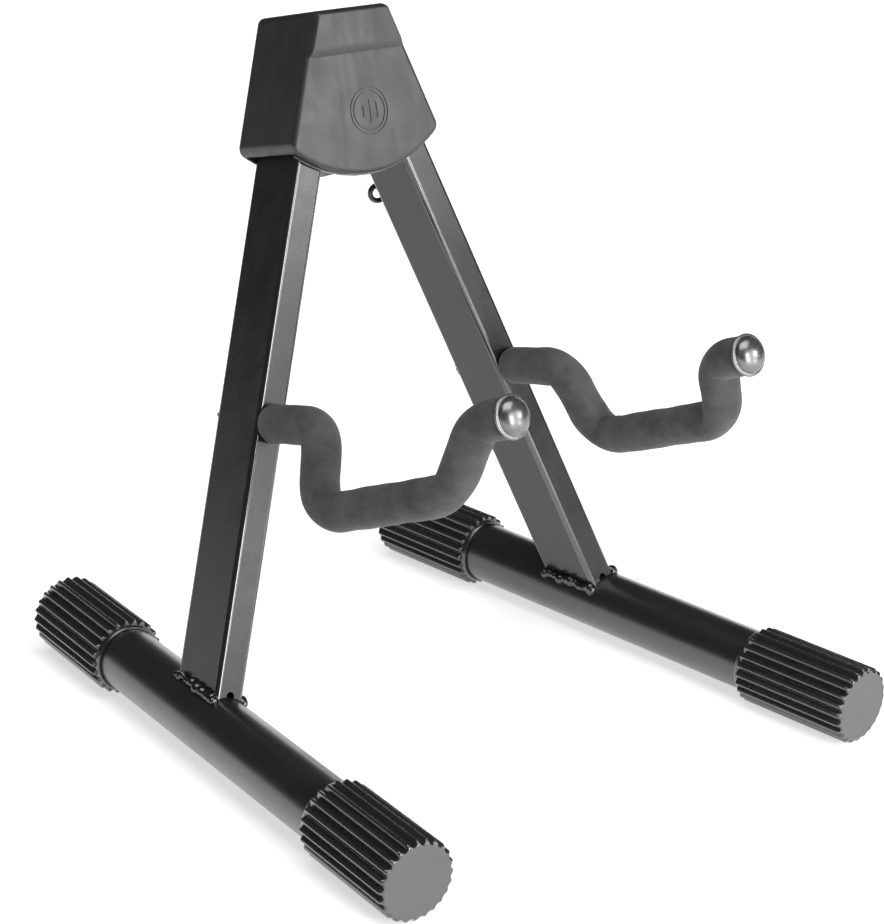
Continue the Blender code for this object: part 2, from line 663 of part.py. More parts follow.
def make_cover_screws(head):
    head_radius, head_height = 0.0028, 0.0016
    slot_length, slot_width = 0.0034, 0.0006
    seat = HEAD_BACK + GAP
    for name, height in SCREWS_ABOVE_HINGE.items():
        z = HINGE_HEIGHT + height
        profile = [
            (0, head_height),
            (head_radius * 0.75, head_height),
            (head_radius, head_height / 2),
            (head_radius, 0),
            (SCREW_RADIUS, 0),
            (SCREW_RADIUS, LEG_FACE - seat - 0.002),
            (0, LEG_FACE - seat - 0.003),
        ]
        place = along_y(0, seat, z, to_front=False)
        screw = add_part(name, turned(profile, place, segments=16), head, "zinc_steel")
        for number, size in enumerate(((slot_length, slot_width), (slot_width, slot_length))):
            bm = bmesh.new()
            place = Matrix.Translation((0, seat + head_height, z))
            place = place @ Matrix.Diagonal((size[0], head_height, size[1], 1))
            bmesh.ops.create_cube(bm, size=1, matrix=place)
            cut(screw, bm, f"{name}_recess_{number}")


# ---------------------------------------------------------------- leg lock


def make_lock_barrel(head):
    """The barrel that guides the lock pin, fixed in the rear plate's tongue."""
    neck_end = PLATE_INNER - LOCK_SEAT
    flange_height = 0.0014
    outer = LOCK_BORE + LOCK_WALL
    flange = outer + 0.0009
    pin_hole = LOCK_PIN_RADIUS + GAP / 2
    profile = [
        (pin_hole, LOCK_LENGTH),
        (outer, LOCK_LENGTH),
        (outer, flange_height),
        (flange, flange_height),
        (flange, 0),
        (LOCK_NECK, 0),
        (LOCK_NECK, neck_end),
        (pin_hole, neck_end),
        (pin_hole, neck_end + LOCK_END_WALL),
        (LOCK_BORE, neck_end + LOCK_END_WALL),
        (LOCK_BORE, LOCK_LENGTH - LOCK_END_WALL),
        (pin_hole, LOCK_LENGTH - LOCK_END_WALL),
        (pin_hole, LOCK_LENGTH),
    ]
    place = along_y(LOCK_X, LOCK_SEAT, LOCK_Z, to_front=False)
    add_part("lock_barrel", turned(profile, place, 20), head, "black_steel")


def make_lock_pin(head):
    """The sprung pin: a nose behind the leg, a collar in the barrel, an eye for the ring.

    Its frame lies on the pin's axis, at the barrel's flange.
    """
    frame = empty("lock_pin_frame", head, (LOCK_X, LOCK_SEAT, LOCK_Z))
    nose = PLATE_INNER - LOCK_SEAT
    collar_radius = LOCK_BORE - GAP / 2
    collar_start = nose + LOCK_END_WALL + GAP / 2
    eye = LOCK_LENGTH + GAP + EYE_RADIUS
    shaft_end = eye - (EYE_RADIUS + EYE_HOLE) / 2
    profile = [
        (0, shaft_end),
        (LOCK_PIN_RADIUS, shaft_end),
        (LOCK_PIN_RADIUS, collar_start + COLLAR_THICKNESS),
        (collar_radius, collar_start + COLLAR_THICKNESS),
        (collar_radius, collar_start),
        (LOCK_PIN_RADIUS, collar_start),
        (LOCK_PIN_RADIUS, nose + 0.0004),
        (LOCK_PIN_RADIUS * 0.7, nose),
        (0, nose),
    ]
    pin = add_part("lock_pin", turned(profile, along_y(to_front=False), 16), frame, "zinc_steel")
    half = EYE_THICKNESS / 2
    cut(pin, cylinder(EYE_RADIUS, (-half, eye, 0), (half, eye, 0), segments=20), "eye", operation="UNION")
    cut(pin, cylinder(EYE_HOLE, (-EYE_RADIUS, eye, 0), (EYE_RADIUS, eye, 0), segments=20), "eye_hole")
    make_lock_spring(head, collar_start + COLLAR_THICKNESS)
    make_pull_ring(frame, eye)


def make_lock_spring(head, start):
    """The coil between the pin's collar and the end of the barrel."""
    low = start + GAP / 2 + SPRING_WIRE
    high = LOCK_LENGTH - LOCK_END_WALL - GAP / 2 - SPRING_WIRE
    radius = (LOCK_BORE + LOCK_PIN_RADIUS) / 2
    steps = SPRING_TURNS * 10
    points = []
    for i in range(steps + 1):
        angle = math.tau * SPRING_TURNS * i / steps
        y = LOCK_SEAT + low + (high - low) * i / steps
        points.append((LOCK_X + radius * math.cos(angle), y, LOCK_Z + radius * math.sin(angle)))
    coil = bar(points, SPRING_WIRE, resolution=2)
    add_part("lock_spring", coil, head, "zinc_steel", smooth_angle=60)


def make_pull_ring(pin_frame, eye):
    """A wire ring through the pin's eye, hanging straight down, turned a little sideways."""
    slack = 0.0001
    frame = empty("pull_ring_frame", pin_frame, (0, eye, -slack))
    frame.rotation_mode = "QUATERNION"
    level = Matrix.Rotation(LEAN, 4, "X") @ Matrix.Rotation(RING_YAW, 4, "Z")
    frame.rotation_quaternion = level.to_quaternion()
    steps = 28
    points = []
    for i in range(steps):
        angle = math.tau * i / steps
        points.append((RING_RADIUS * math.sin(angle), 0, RING_RADIUS * (math.cos(angle) - 1)))
    ring = bar(points, RING_WIRE, resolution=2, closed=True)
    add_part("pull_ring", ring, frame, "black_steel", smooth_angle=60)


# ---------------------------------------------------------------- the stand


def main():
    head = empty("head_frame", None, (0, JUNCTION_Y, FOOT_RADIUS), (-LEAN, 0, 0))
    for side, sign in (("left", -1), ("right", 1)):
        make_leg_frame(side, sign, head)
        make_hinge_pin(side, sign, head)
    make_head_cover(head)
    make_front_plate(head)
    make_rear_plate(head)
    make_stop_block(head)
    make_clamp_bolt(head)
    make_cover_screws(head)
    make_lock_barrel(head)
    make_lock_pin(head)


clear_scene()
PARTS = new_collection("guitar_stand")
CUTTERS = new_collection("cutters")
main()
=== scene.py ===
import math
import random

import bmesh
import bpy
from mathutils import Matrix, Vector


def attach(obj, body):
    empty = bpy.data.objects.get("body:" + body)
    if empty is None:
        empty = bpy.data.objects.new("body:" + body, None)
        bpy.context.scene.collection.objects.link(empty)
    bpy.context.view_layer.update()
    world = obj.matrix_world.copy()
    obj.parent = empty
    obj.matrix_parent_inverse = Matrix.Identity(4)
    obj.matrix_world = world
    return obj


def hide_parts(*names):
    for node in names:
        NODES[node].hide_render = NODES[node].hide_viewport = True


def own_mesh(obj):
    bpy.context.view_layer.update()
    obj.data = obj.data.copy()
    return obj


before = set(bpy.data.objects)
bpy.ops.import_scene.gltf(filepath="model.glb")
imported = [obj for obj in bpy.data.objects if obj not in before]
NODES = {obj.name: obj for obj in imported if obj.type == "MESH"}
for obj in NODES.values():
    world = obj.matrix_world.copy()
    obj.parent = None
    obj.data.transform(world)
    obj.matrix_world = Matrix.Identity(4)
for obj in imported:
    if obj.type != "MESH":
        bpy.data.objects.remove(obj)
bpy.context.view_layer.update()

# ---------------------------------------------------------------- sizes, in metres

OPEN_ANGLE = math.radians(20.3)      # each leg, from the middle plane of the stand
RAKE_ANGLE = math.radians(15.65)     # leg to the square of its base tube
LEAN = math.atan(math.tan(RAKE_ANGLE) * math.cos(OPEN_ANGLE))
SPLAY = math.asin(math.sin(RAKE_ANGLE) * math.sin(OPEN_ANGLE))

BASE_RADIUS = 0.0136
BASE_FRONT = 0.1552                  # junction to the face of the front foot
BASE_REAR = 0.1235
FOOT_RADIUS = 0.0170
FOOT_LENGTH = 0.058
FOOT_RIBS = 24
FOOT_GROOVE = 0.0021                 # depth between the ribs
FOOT_ROUNDING = 0.0020               # of the ribs' ends
FOOT_LIP = 0.0022                    # length of the plain mouth

LEG_DEPTH = 0.030
LEG_WIDTH = 0.0136
LEG_WALL = 0.0012
LEG_CORNER = 0.0019
LEG_LENGTH = 0.258                   # junction to hinge
LEG_OVER_HINGE = 0.0095
BASE_WALL = 0.0012
FOOT_END = 0.0030                    # thickness of a foot's closed end
VENT_RADIUS = 0.0019
PIN_HOLE = 0.0045
GAP = 0.0003                         # between touching pieces
HINGE_X = 0.0189
HINGE_HEIGHT = LEG_LENGTH * math.cos(OPEN_ANGLE)
JUNCTION_Y = (BASE_FRONT - BASE_REAR) / 2 * math.cos(SPLAY)

ROD_RADIUS = 0.0040
FOAM_RADIUS = 0.0082
FOAM_ROUNDING = 0.0028               # of the end that meets the leg
CAP_RADIUS = 0.0087
CAP_RIM = 0.0012
CAP_STEP = 0.0013                    # rim to the dome's edge
CAP_DOME = 0.0045
ARM_CORNERS = (                      # (in front of the leg's axis, above the junction)
    (0.0150, 0.1236),
    (0.0506, 0.1236),
    (0.0555, 0.0880),
    (0.1365, 0.1014),
    (0.1453, 0.1290),
    (0.1632, 0.1318),
)
ARM_RADII = (0.0132, 0.0157, 0.0202, 0.0155)
ROD_HEIGHT = ARM_CORNERS[0][1] - LEG_LENGTH      # in the leg frame
STRAIGHT_STEP = 0.0020               # between the foam's rings
BEND_STEP = 0.0022
CREASE = 0.94                        # 1 is a sharp mitre at the inner side of a bend
BULGE = 0.05                         # of the squeezed foam, as a share of its radius

WELD_RADIUS = 0.0021
WELD_DROPS = 18
ARM_WELD_RADIUS = 0.0012
ARM_WELD_REACH = 0.0049              # rod's axis to the bead's middle

HEAD_TOP = HINGE_HEIGHT + 0.0370
HEAD_TOP_HALF = 0.0192
HEAD_HIP = HINGE_HEIGHT - 0.0173
HEAD_BELLY = HINGE_HEIGHT - 0.0318
HEAD_FRONT = 0.0202
HEAD_BROW_FRONT = 0.0220
HEAD_BROW_LOW = HEAD_TOP - 0.0190
HEAD_BACK = 0.0205
HEAD_HIP_ROUND = 0.0044
HEAD_TOP_ROUND = 0.0035
HEAD_RIM_ROUND = 0.0022
HEAD_WALL = 0.0018
MOUTH_WALL = 0.0030
FRONT_ZONE = -HEAD_FRONT + 0.0023    # the front face and its rounded rim lie before it
PLATE_OUTER = LEG_DEPTH / 2 + 0.0016
SCREW_HOLE = 0.0018
SCREW_PLACES = (0.0260, -0.0160)     # above the hinges
BADGE_CENTRE = (0.0022, HINGE_HEIGHT - 0.0062)
BADGE_RINGS = (0.0100, 0.0084)
BADGE_BARS = ((-0.0036, 0.0024), (0.0, 0.0046), (0.0036, 0.0034))    # (across, half height)
BADGE_LINE = 0.00055
BADGE_DEPTH = 0.00035

RING_YAW = math.radians(-20)
RING_RADIUS = 0.0035
RING_WIRE = 0.0012                   # radius
SPRING_TURNS = 4
SPRING_WIRE = 0.00016                # radius

SIDES = (("left", -1), ("right", 1))

# ---------------------------------------------------------------- camera, floor and light

CAMERA_PLACE = (-0.67147, -0.77207, 0.50529)
CAMERA_AZIMUTH = math.radians(-41.072)
CAMERA_DOWN = math.radians(21.058)
CAMERA_ROLL = math.radians(2.303)
FOCAL_LENGTH = 106.19                # mm, on a 36 mm sensor


def make_camera():
    data = bpy.data.cameras.new("camera")
    data.sensor_width = 36.0
    data.sensor_fit = "HORIZONTAL"
    data.lens = FOCAL_LENGTH
    camera = bpy.data.objects.new("camera", data)
    turn = (
        Matrix.Rotation(CAMERA_AZIMUTH, 4, "Z")
        @ Matrix.Rotation(math.pi / 2 - CAMERA_DOWN, 4, "X")
        @ Matrix.Rotation(CAMERA_ROLL, 4, "Z")
    )
    camera.matrix_world = Matrix.Translation(CAMERA_PLACE) @ turn
    bpy.context.scene.collection.objects.link(camera)
    bpy.context.scene.camera = camera


def make_area_light(name, place, target, size, power):
    data = bpy.data.lights.new(name, "AREA")
    data.shape = "RECTANGLE"
    data.size, data.size_y = size
    data.energy = power
    light = bpy.data.objects.new(name, data)
    aim = Vector(target) - Vector(place)
    turn = aim.to_track_quat("-Z", "Y").to_matrix().to_4x4()
    light.matrix_world = Matrix.Translation(place) @ turn
    bpy.context.scene.collection.objects.link(light)


def make_studio():
    """A pale floor, an overhead softbox, panels at the front and back, and a dim room."""
    bm = bmesh.new()
    bmesh.ops.create_grid(bm, x_segments=8, y_segments=8, size=4.0)
    mesh = bpy.data.meshes.new("floor")
    bm.to_mesh(mesh)
    bm.free()
    floor = bpy.data.objects.new("floor", mesh)
    bpy.context.scene.collection.objects.link(floor)
    mesh.materials.append(floor_sheet())
    make_area_light("overhead", (-0.25, -0.35, 1.9), (0, 0, 0), (1.8, 1.4), 26)
    make_area_light("front_key", (0.63, -0.93, 0.50), (0, 0, 0.14), (0.30, 0.30), 3.2)
    make_area_light("front_panel", (0.13, -1.15, 0.48), (0, 0, 0.14), (1.00, 0.86), 6.0)
    make_area_light("front_low", (0.56, -1.02, 0.13), (0, 0, 0.10), (0.34, 0.20), 0.9)
    make_area_light("front_strip", (-0.10, -1.22, 0.42), (0, 0, 0.14), (0.22, 0.70), 6.0)
    make_area_light("back_low", (1.55, 1.55, 0.26), (0, 0, 0.10), (1.60, 0.50), 3.4)
    world = bpy.data.worlds.new("room")
    world.use_nodes = True
    background = world.node_tree.nodes["Background"]
    background.inputs["Color"].default_value = (1, 1, 1, 1)
    path = world.node_tree.nodes.new("ShaderNodeLightPath")
    level = ramp(world.node_tree, path.outputs["Is Camera Ray"], 0.0, 1.0, 0.06, 0.95)
    world.node_tree.links.new(level, background.inputs["Strength"])
    bpy.context.scene.world = world
    bpy.context.scene.view_settings.view_transform = "Standard"


# ---------------------------------------------------------------- materials


def shader_of(name):
    """A new material with its node tree and its shader."""
    made = bpy.data.materials.new(name)
    made.use_nodes = True
    return made, made.node_tree, made.node_tree.nodes["Principled BSDF"]


def object_coords(tree):
    return tree.nodes.new("ShaderNodeTexCoord").outputs["Object"]


def noise(tree, scale, detail=3.0, roughness=0.5, coords=None):
    """A noise texture whose scale is in lumps per metre."""
    node = tree.nodes.new("ShaderNodeTexNoise")
    node.inputs["Scale"].default_value = scale
    node.inputs["Detail"].default_value = detail
    node.inputs["Roughness"].default_value = roughness
    tree.links.new(coords or object_coords(tree), node.inputs["Vector"])
    return node.outputs["Fac"]


def ramp(tree, value, low, high, out_low, out_high):
    """The value mapped from low..high to out_low..out_high."""
    node = tree.nodes.new("ShaderNodeMapRange")
    node.inputs["From Min"].default_value = low
    node.inputs["From Max"].default_value = high
    node.inputs["To Min"].default_value = out_low
    node.inputs["To Max"].default_value = out_high
    tree.links.new(value, node.inputs["Value"])
    return node.outputs["Result"]


def tint(tree, shader, factor, first, second):
    """Vary the base colour between two colours."""
    node = tree.nodes.new("ShaderNodeMix")
    node.data_type = "RGBA"
    node.inputs["A"].default_value = (*first, 1)
    node.inputs["B"].default_value = (*second, 1)
    tree.links.new(factor, node.inputs["Factor"])
    tree.links.new(node.outputs["Result"], shader.inputs["Base Color"])


def set_roughness(tree, shader, value, low, high):
    """Let the roughness follow a noise value, mostly between low and high."""
    tree.links.new(ramp(tree, value, 0.3, 0.7, low, high), shader.inputs["Roughness"])


def bump(tree, shader, layers):
    """Stack bump layers given as (height output, strength, distance in metres)."""
    normal = None
    for height, strength, distance in layers:
        node = tree.nodes.new("ShaderNodeBump")
        node.inputs["Strength"].default_value = strength
        node.inputs["Distance"].default_value = distance
        tree.links.new(height, node.inputs["Height"])
        if normal:
            tree.links.new(normal, node.inputs["Normal"])
        normal = node.outputs["Normal"]
    tree.links.new(normal, shader.inputs["Normal"])


def floor_sheet():
    """A white sweep that glows a little more where the lights no longer reach it."""
    made, tree, shader = shader_of("floor_sheet")
    coords = object_coords(tree)
    length = tree.nodes.new("ShaderNodeVectorMath")
    length.operation = "LENGTH"
    tree.links.new(coords, length.inputs[0])
    tint(tree, shader, noise(tree, 3, coords=coords), (0.80, 0.80, 0.80), (0.83, 0.83, 0.83))
    shader.inputs["Roughness"].default_value = 0.75
    shader.inputs["Specular IOR Level"].default_value = 0.2
    shader.inputs["Emission Color"].default_value = (1, 1, 1, 1)
    glow = ramp(tree, length.outputs["Value"], 0.3, 1.6, 0.60, 0.97)
    tree.links.new(glow, shader.inputs["Emission Strength"])
    return made


def black_paint(name, roughness, specular, coat):
    """Satin black powder coat: slight orange peel, faint handling marks."""
    made, tree, shader = shader_of(name)
    cloud = noise(tree, 22, detail=5)
    tint(tree, shader, cloud, (0.0075, 0.0075, 0.0080), (0.0125, 0.0125, 0.0130))
    smudge = noise(tree, 60, detail=6, roughness=0.65)
    set_roughness(tree, shader, smudge, roughness - 0.05, roughness + 0.05)
    shader.inputs["Specular IOR Level"].default_value = specular
    shader.inputs["Coat Weight"].default_value = coat
    shader.inputs["Coat Roughness"].default_value = roughness * 0.8
    peel = noise(tree, 900, detail=2)
    grain = noise(tree, 4200, detail=1)
    bump(tree, shader, ((peel, 0.035, 0.0002), (grain, 0.015, 0.00008)))
    return made


def weld_paint():
    """The same coat where it pools over the welds: thick and glossy."""
    made, tree, shader = shader_of("weld_paint")
    cloud = noise(tree, 300, detail=4)
    tint(tree, shader, cloud, (0.006, 0.006, 0.006), (0.011, 0.011, 0.011))
    set_roughness(tree, shader, cloud, 0.10, 0.20)
    shader.inputs["Specular IOR Level"].default_value = 1.0
    bump(tree, shader, ((noise(tree, 1500, detail=3), 0.15, 0.0002),))
    return made


def head_plastic():
    """Matt moulded plastic with a fine spark finish and slight sink marks."""
    made, tree, shader = shader_of("head_plastic")
    cloud = noise(tree, 35, detail=4)
    tint(tree, shader, cloud, (0.013, 0.013, 0.0135), (0.019, 0.019, 0.0195))
    smudge = noise(tree, 90, detail=5, roughness=0.6)
    set_roughness(tree, shader, smudge, 0.36, 0.47)
    shader.inputs["Specular IOR Level"].default_value = 0.75
    stretch = tree.nodes.new("ShaderNodeMapping")
    stretch.inputs["Scale"].default_value = (1.0, 1.0, 0.07)
    tree.links.new(object_coords(tree), stretch.inputs["Vector"])
    sink = noise(tree, 130, detail=1, coords=stretch.outputs["Vector"])
    spark = noise(tree, 3000, detail=2)
    bump(tree, shader, ((sink, 0.30, 0.0010), (spark, 0.22, 0.00010)))
    return made


def black_rubber():
    """Moulded rubber, a little glossy on its ribs."""
    made, tree, shader = shader_of("black_rubber")
    cloud = noise(tree, 70, detail=5)
    tint(tree, shader, cloud, (0.010, 0.010, 0.010), (0.019, 0.019, 0.019))
    smudge = noise(tree, 240, detail=5, roughness=0.65)
    set_roughness(tree, shader, smudge, 0.20, 0.34)
    shader.inputs["Specular IOR Level"].default_value = 0.9
    shader.inputs["Coat Weight"].default_value = 1.0
    shader.inputs["Coat Roughness"].default_value = 0.20
    bump(tree, shader, ((noise(tree, 900, detail=2), 0.04, 0.00010),))
    return made


def rubber_end():
    """The flat end of a foot, lighter grey and duller than its ribs."""
    made, tree, shader = shader_of("rubber_end")
    cloud = noise(tree, 80, detail=6, roughness=0.6)
    tint(tree, shader, cloud, (0.080, 0.080, 0.080), (0.125, 0.125, 0.125))
    set_roughness(tree, shader, cloud, 0.50, 0.66)
    bump(tree, shader, ((noise(tree, 2200, detail=3), 0.25, 0.00015),))
    return made


def grey_foam():
    """Closed-cell foam: fine cells, soft mottling, no gloss."""
    made, tree, shader = shader_of("grey_foam")
    coords = object_coords(tree)
    mottle = noise(tree, 85, detail=7, roughness=0.72, coords=coords)
    patches = ramp(tree, mottle, 0.36, 0.64, 0.0, 1.0)
    tint(tree, shader, patches, (0.034, 0.034, 0.035), (0.078, 0.078, 0.079))
    set_roughness(tree, shader, mottle, 0.82, 0.95)
    shader.inputs["Sheen Weight"].default_value = 0.12
    shader.inputs["Sheen Roughness"].default_value = 0.5
    cells = tree.nodes.new("ShaderNodeTexVoronoi")
    cells.inputs["Scale"].default_value = 2400
    tree.links.new(coords, cells.inputs["Vector"])
    dents = noise(tree, 330, detail=5, roughness=0.6, coords=coords)
    bump(tree, shader, ((dents, 0.5, 0.00045), (cells.outputs["Distance"], 0.6, 0.00020)))
    return made


def gloss_cap():
    """Plastic with a dark pearl finish and faint scratches."""
    made, tree, shader = shader_of("gloss_cap")
    cloud = noise(tree, 200, detail=4)
    tint(tree, shader, cloud, (0.16, 0.16, 0.16), (0.22, 0.22, 0.22))
    set_roughness(tree, shader, noise(tree, 500, detail=6), 0.22, 0.32)
    shader.inputs["Metallic"].default_value = 0.85
    bump(tree, shader, ((noise(tree, 900, detail=2), 0.06, 0.0001),))
    return made


def zinc_steel():
    made, tree, shader = shader_of("zinc_steel")
    shader.inputs["Metallic"].default_value = 1.0
    cloud = noise(tree, 400, detail=5)
    tint(tree, shader, cloud, (0.42, 0.42, 0.41), (0.62, 0.62, 0.60))
    set_roughness(tree, shader, noise(tree, 900, detail=4), 0.25, 0.42)
    bump(tree, shader, ((noise(tree, 3000, detail=2), 0.15, 0.0001),))
    return made


def nylon():
    made, tree, shader = shader_of("nylon")
    cloud = noise(tree, 120, detail=4)
    tint(tree, shader, cloud, (0.62, 0.61, 0.57), (0.72, 0.71, 0.67))
    set_roughness(tree, shader, cloud, 0.45, 0.6)
    shader.inputs["Subsurface Weight"].default_value = 0.1
    bump(tree, shader, ((noise(tree, 2500, detail=2), 0.12, 0.0001),))
    return made


# ---------------------------------------------------------------- frames and small helpers


def head_frame():
    """Origin midway between the two junctions of leg and base, leaning back with the head."""
    return Matrix.Translation((0, JUNCTION_Y, FOOT_RADIUS)) @ Matrix.Rotation(-LEAN, 4, "X")


def leg_frame(sign):
    """Origin on the leg's hinge axis, +Z up the leg, -Y to the front."""
    hinge = Matrix.Translation((sign * HINGE_X, 0, HINGE_HEIGHT))
    return head_frame() @ hinge @ Matrix.Rotation(-sign * OPEN_ANGLE, 4, "Y")


def base_axis():
    return Vector((0, -math.cos(RAKE_ANGLE), -math.sin(RAKE_ANGLE)))


def base_point(distance):
    """A point on the base tube's axis in the leg frame, measured towards the front."""
    return Vector((0, 0, -LEG_LENGTH)) + base_axis() * distance


def frame_along(place, axis):
    """Local Z along the axis, local X across the leg."""
    across = Vector((1, 0, 0))
    turn = Matrix((across, axis.cross(across), axis)).transposed().to_4x4()
    return Matrix.Translation(place) @ turn


def circle_points(radius, count):
    """Points round a circle; the radius is a length, or a length for each angle."""
    points = []
    for i in range(count):
        angle = math.tau * i / count
        reach = radius(angle) if callable(radius) else radius
        points.append((reach * math.cos(angle), reach * math.sin(angle)))
    return points


def turned(bm, profile, count):
    """Rings of vertices round the Z axis, for a profile of (radius, z)."""
    rings = []
    for radius, z in profile:
        rings.append([bm.verts.new((x, y, z)) for x, y in circle_points(radius, count)])
    return rings


def finish_piece(name, bm, matrix, look, body, replaces, smooth_angle=50.0):
    """Turn a bmesh into a piece that rides on a body and stands for a CAD node."""
    bmesh.ops.recalc_face_normals(bm, faces=bm.faces)
    bmesh.ops.transform(bm, matrix=matrix, verts=bm.verts)
    mesh = bpy.data.meshes.new(name)
    bm.to_mesh(mesh)
    bm.free()
    mesh.shade_smooth()
    mesh.set_sharp_from_angle(angle=math.radians(smooth_angle))
    piece = bpy.data.objects.new(name, mesh)
    for material in look:
        mesh.materials.append(material)
    bpy.context.scene.collection.objects.link(piece)
    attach(piece, body)
    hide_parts(replaces)
    return piece


def grid_faces(bm, rings):
    """Quads between rings of vertices."""
    for near, far in zip(rings, rings[1:]):
        count = len(near)
        for i in range(count):
            j = (i + 1) % count
            bm.faces.new((near[i], near[j], far[j], far[i]))


def arc(centre, radius, start, end, steps):
    """The points of an arc, with both of its ends."""
    angles = [start + (end - start) * i / steps for i in range(steps + 1)]
    return [(centre[0] + radius * math.cos(a), centre[1] + radius * math.sin(a)) for a in angles]


def smooth_step(value):
    value = min(1.0, max(0.0, value))
    return value * value * (3 - 2 * value)


def cut_away(target, bm):
    """Cut a bmesh out of the target's mesh at once."""
    mesh = bpy.data.meshes.new("tool")
    bmesh.ops.recalc_face_normals(bm, faces=bm.faces)
    bm.to_mesh(mesh)
    bm.free()
    tool = bpy.data.objects.new("tool", mesh)
    bpy.context.scene.collection.objects.link(tool)
    modifier = target.modifiers.new("cut", "BOOLEAN")
    modifier.operation = "DIFFERENCE"
    modifier.solver = "EXACT"
    modifier.object = tool
    seen = target.evaluated_get(bpy.context.evaluated_depsgraph_get())
    made = bpy.data.meshes.new_from_object(seen)
    target.modifiers.clear()
    target.data = made
    bpy.data.objects.remove(tool)


def carve(bm, cutters):
    """Cut each cutter out of a mesh and return what is left."""
    mesh = bpy.data.meshes.new("blank")
    bmesh.ops.recalc_face_normals(bm, faces=bm.faces)
    bm.to_mesh(mesh)
    bm.free()
    blank = bpy.data.objects.new("blank", mesh)
    bpy.context.scene.collection.objects.link(blank)
    for cutter in cutters:
        cut_away(blank, cutter)
    left = bmesh.new()
    left.from_mesh(blank.data)
    bpy.data.objects.remove(blank)
    return left


def round_bar(radius, start, end, count=48):
    """A capped cylinder between two points."""
    start, end = Vector(start), Vector(end)
    axis = end - start
    turn = axis.to_track_quat("Z", "Y").to_matrix().to_4x4()
    bm = bmesh.new()
    bmesh.ops.create_cone(
        bm,
        cap_ends=True,
        segments=count,
        radius1=radius,
        radius2=radius,
        depth=axis.length,
        matrix=Matrix.Translation((start + end) / 2) @ turn,
    )
    return bm


def column(width, depth, corner, low, high):
    """An upright box with rounded corners, from low to high."""
    x, y = width / 2 - corner, depth / 2 - corner
    outline = []
    for number, centre in enumerate(((x, y), (-x, y), (-x, -y), (x, -y))):
        outline += arc(centre, corner, math.pi / 2 * number, math.pi / 2 * (number + 1), 10)
    bm = bmesh.new()
    face = bm.faces.new([bm.verts.new((*point, low)) for point in outline])
    grown = bmesh.ops.extrude_face_region(bm, geom=[face])
    moved = [item for item in grown["geom"] if isinstance(item, bmesh.types.BMVert)]
    bmesh.ops.translate(bm, vec=(0, 0, high - low), verts=moved)
    return bm


# ---------------------------------------------------------------- leg and base tubes


def make_leg_tube(side, sign, look):
    """The leg: saddled over its base tube, with its vent, rod and hinge holes."""
    low, high = -LEG_LENGTH, LEG_OVER_HINGE
    inner = (LEG_WIDTH - 2 * LEG_WALL, LEG_DEPTH - 2 * LEG_WALL, LEG_CORNER - LEG_WALL)
    # The vent bites into the leg where its front meets the base tube.
    drop = LEG_DEPTH / 2 * math.sin(RAKE_ANGLE)
    vent = (BASE_RADIUS - drop) / math.cos(RAKE_ANGLE) - LEG_LENGTH + VENT_RADIUS * 0.4
    bm = carve(column(LEG_WIDTH, LEG_DEPTH, LEG_CORNER, low, high), (
        column(*inner, low - 0.01, high + 0.01),
        round_bar(BASE_RADIUS + GAP, base_point(-LEG_DEPTH), base_point(LEG_DEPTH), count=128),
        round_bar(VENT_RADIUS, (0, -LEG_DEPTH, vent), (0, 0, vent)),
        round_bar(ROD_RADIUS + GAP, (0, -LEG_DEPTH, ROD_HEIGHT), (0, LEG_DEPTH, ROD_HEIGHT)),
        round_bar(PIN_HOLE, (0, -LEG_DEPTH, 0), (0, LEG_DEPTH, 0)),
    ))
    # The coat pulls thin and shiny round the four long corners.
    for face in bm.faces:
        middle = face.calc_center_median()
        if abs(middle.x) > LEG_WIDTH / 2 - LEG_CORNER and abs(middle.y) > LEG_DEPTH / 2 - LEG_CORNER:
            face.material_index = 1
    name = f"{side}_leg_tube"
    leg = finish_piece(
        name + "_visual", bm, leg_frame(sign), look, f"{side}_leg", name,
        smooth_angle=30.0,
    )
    weigh_normals(leg)


def make_base_tube(side, sign, look):
    ends = BASE_FRONT - FOOT_END - GAP, -(BASE_REAR - FOOT_END - GAP)
    reach = ends[0] + 0.01, ends[1] - 0.01
    bm = carve(round_bar(BASE_RADIUS, base_point(ends[1]), base_point(ends[0]), count=128), (
        round_bar(BASE_RADIUS - BASE_WALL, base_point(reach[1]), base_point(reach[0])),
    ))
    name = f"{side}_base_tube"
    finish_piece(
        name + "_visual", bm, leg_frame(sign), [look], f"{side}_leg", name,
        smooth_angle=30.0,
    )


# ---------------------------------------------------------------- rubber feet


def rib_profile(radius, depth):
    """A ribbed outline as a radius for each angle: broad crests and narrower grooves."""
    def reach(angle):
        wave = 0.5 + 0.5 * math.cos(FOOT_RIBS * angle)
        return radius - depth * (1 - wave ** 0.9)
    return reach


